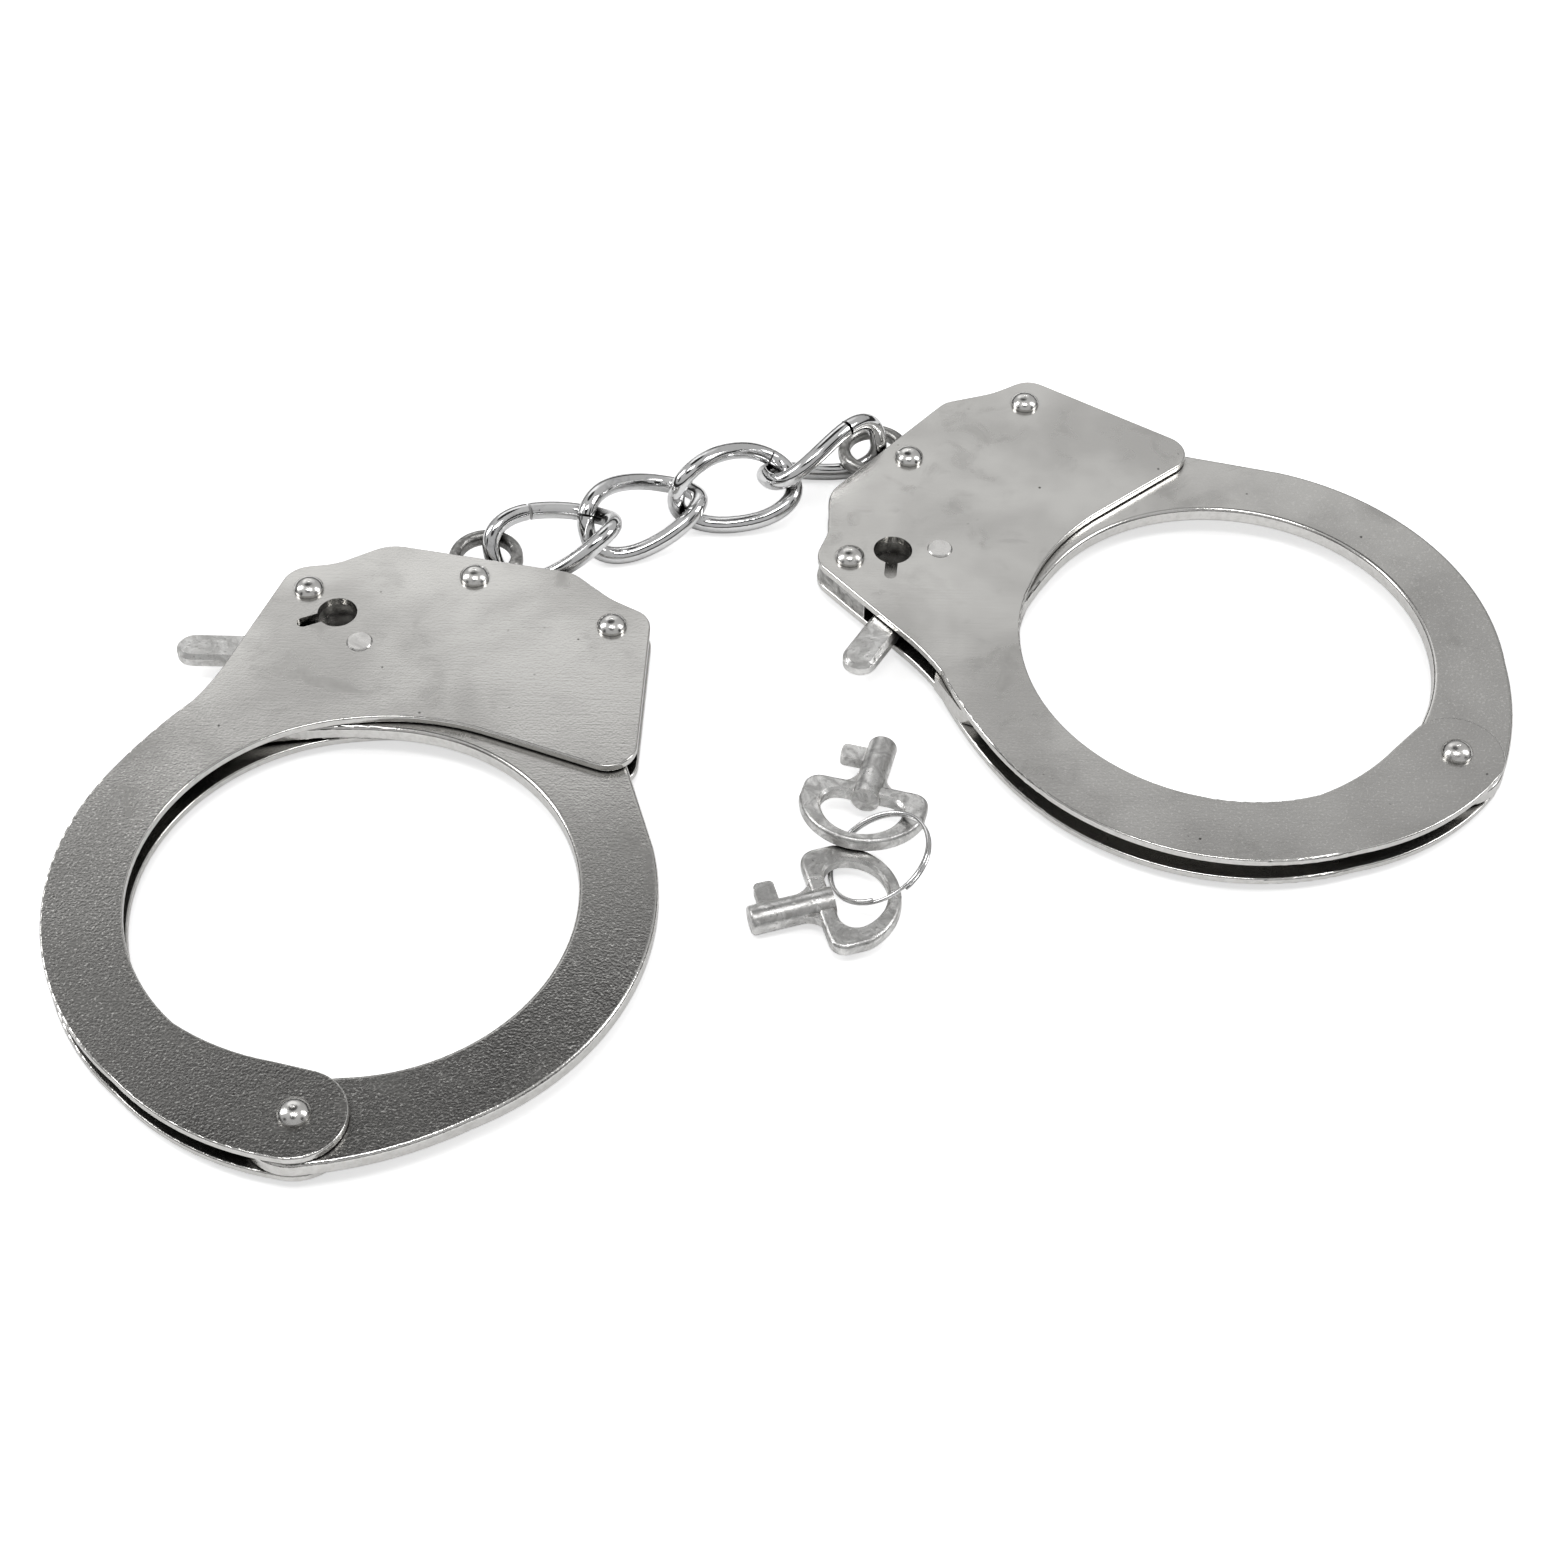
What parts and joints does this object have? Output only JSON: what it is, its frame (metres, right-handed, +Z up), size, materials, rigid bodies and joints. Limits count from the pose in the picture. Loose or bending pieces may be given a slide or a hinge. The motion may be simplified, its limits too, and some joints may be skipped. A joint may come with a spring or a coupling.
{
  "type": "handcuffs",
  "caption": "Wrist cuffs with swinging toothed jaws, cheek plates and keyholes, joined by a short twisted-link chain, with cast keys on a split ring.",
  "frame": {"origin": "on the surface that the set lies on, under the middle of its bounding box", "axes": "+Z up, +X along the set from the left cuff to the right cuff, +Y towards the chain"},
  "size_m": [0.1854, 0.137, 0.0122],
  "materials": {
    "nickel_plate": "satin nickel plate, faintly brushed and stained",
    "jaw_steel": "satin nickel plate with bright polished rims",
    "cast_zinc": "dull mottled plated casting",
    "polished_steel": "polished",
    "chain_chrome": "bright chrome",
    "spring_wire": "bright drawn wire"
  },
  "bodies": {
    "left_frame": {"left_front_plate": "nickel_plate", "left_back_plate": "nickel_plate", "left_lock_body": "cast_zinc", "left_body_rivets": "polished_steel", "left_eye_rivet": "polished_steel", "left_pawl_pin": "polished_steel", "left_pawl_spring": "spring_wire", "left_jaw_rivet": "polished_steel"},
    "left_jaw": {"left_jaw": "jaw_steel"},
    "left_pawl": {"left_release_pawl": "cast_zinc"},
    "left_eye": {"left_chain_eye": "cast_zinc"},
    "right_frame": {"right_front_plate": "nickel_plate", "right_back_plate": "nickel_plate", "right_lock_body": "cast_zinc", "right_body_rivets": "polished_steel", "right_eye_rivet": "polished_steel", "right_pawl_pin": "polished_steel", "right_pawl_spring": "spring_wire", "right_jaw_rivet": "polished_steel"},
    "right_jaw": {"right_jaw": "jaw_steel"},
    "right_pawl": {"right_release_pawl": "cast_zinc"},
    "right_eye": {"right_chain_eye": "cast_zinc"},
    "link_1": {"chain_link_1": "chain_chrome"},
    "link_2": {"chain_link_2": "chain_chrome"},
    "link_3": {"chain_link_3": "chain_chrome"},
    "link_4": {"chain_link_4": "chain_chrome"},
    "key_a": {"key_a": "cast_zinc"},
    "key_b": {"key_b": "cast_zinc"},
    "key_ring": {"split_ring": "spring_wire"}
  },
  "joints": [
    {"name": "left_jaw_swing", "type": "hinge", "parent": "left_frame", "child": "left_jaw", "pos_m": [-0.0578, -0.06208, 0.00375], "axis": [0, 0, 1], "range_deg": [0, 240]},
    {"name": "left_pawl_turn", "type": "hinge", "parent": "left_frame", "child": "left_pawl", "pos_m": [-0.05956, 0.01245, 0.00375], "axis": [0, 0, 1], "range_deg": [-3, 0], "stiffness_Nm_per_rad": 0.02, "springref_deg": -5.73, "deforming": ["left_pawl_spring"]},
    {"name": "right_jaw_swing", "type": "hinge", "parent": "right_frame", "child": "right_jaw", "pos_m": [0.08312, -0.0026, 0.00375], "axis": [0, 0, 1], "range_deg": [0, 240]},
    {"name": "right_pawl_turn", "type": "hinge", "parent": "right_frame", "child": "right_pawl", "pos_m": [0.01754, 0.03284, 0.00375], "axis": [0, 0, 1], "range_deg": [-3, 0], "stiffness_Nm_per_rad": 0.02, "springref_deg": -5.73, "deforming": ["right_pawl_spring"]},
    {"name": "left_eye_swing", "type": "hinge", "parent": "left_frame", "child": "left_eye", "pos_m": [-0.04554, 0.02508, 0.00375], "axis": [0, 0, 1], "range_deg": [0, 15]},
    {"name": "link_1_swing", "type": "hinge", "parent": "left_eye", "child": "link_1", "pos_m": [-0.04074, 0.02965, 0.00375], "axis": [0, 0, 1], "range_deg": [0, 8]},
    {"name": "link_2_swing", "type": "hinge", "parent": "link_1", "child": "link_2", "pos_m": [-0.0309, 0.03924, 0.00504], "axis": [0, 0, 1], "range_deg": [0, 8]},
    {"name": "link_3_swing", "type": "hinge", "parent": "link_2", "child": "link_3", "pos_m": [-0.01662, 0.04046, 0.00454], "axis": [0, 0, 1], "range_deg": [0, 8]},
    {"name": "link_4_swing", "type": "hinge", "parent": "link_3", "child": "link_4", "pos_m": [-0.00544, 0.0505, 0.00587], "axis": [0, 0, 1], "range_deg": [0, 8]},
    {"name": "right_eye_turn", "type": "hinge", "parent": "link_4", "child": "right_eye", "pos_m": [0.00525, 0.05349, 0.0015], "axis": [0, 0, 1], "range_deg": [0, 4]},
    {"name": "right_eye_swing", "type": "hinge", "parent": "right_eye", "child": "right_frame", "pos_m": [0.01353, 0.05128, 0.00375], "axis": [0, 0, 1], "range_deg": [0, 10]},
    {"name": "key_ring_lift", "type": "slide", "parent": "left_frame", "child": "key_ring", "axis": [0, 0, 1], "range_m": [0, 0.03]},
    {"name": "key_a_turn", "type": "hinge", "parent": "key_ring", "child": "key_a", "pos_m": [0.00919, -0.02062, 0.00348], "axis": [-0.4924, 0, 0.8704], "range_deg": [-20, 0]},
    {"name": "key_b_turn", "type": "hinge", "parent": "key_ring", "child": "key_b", "pos_m": [0.00919, -0.02062, 0.00348], "axis": [-0.4924, 0, 0.8704], "range_deg": [0, 20]}
  ]
}
